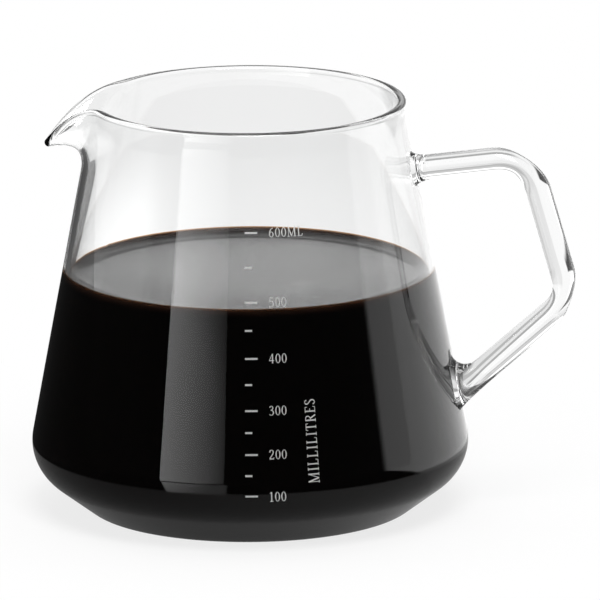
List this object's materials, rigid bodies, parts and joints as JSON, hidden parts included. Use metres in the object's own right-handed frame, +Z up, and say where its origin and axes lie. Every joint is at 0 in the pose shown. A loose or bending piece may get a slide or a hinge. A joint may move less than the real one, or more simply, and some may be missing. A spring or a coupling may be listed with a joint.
{
  "type": "glass measuring jug",
  "caption": "Conical clear glass jug with a drawn pouring spout, a fused bent-rod glass handle and a printed millilitre scale, for brewing into, measuring and pouring.",
  "frame": {"origin": "the jug's axis on its resting plane, in the middle of the base", "axes": "+Z up along the jug's axis; +X from the axis towards the handle, with the spout towards -X; the scale faces -Y"},
  "size_m": [0.1412, 0.1128, 0.1075],
  "materials": {
    "clear_glass": "clear, fire-polished",
    "white_enamel": "thin fired print, satin"
  },
  "bodies": {
    "root": {"vessel": "clear_glass", "handle": "clear_glass", "upper_collar": "clear_glass", "lower_collar": "clear_glass", "long_marks": "white_enamel", "short_marks": "white_enamel"}
  },
  "joints": []
}
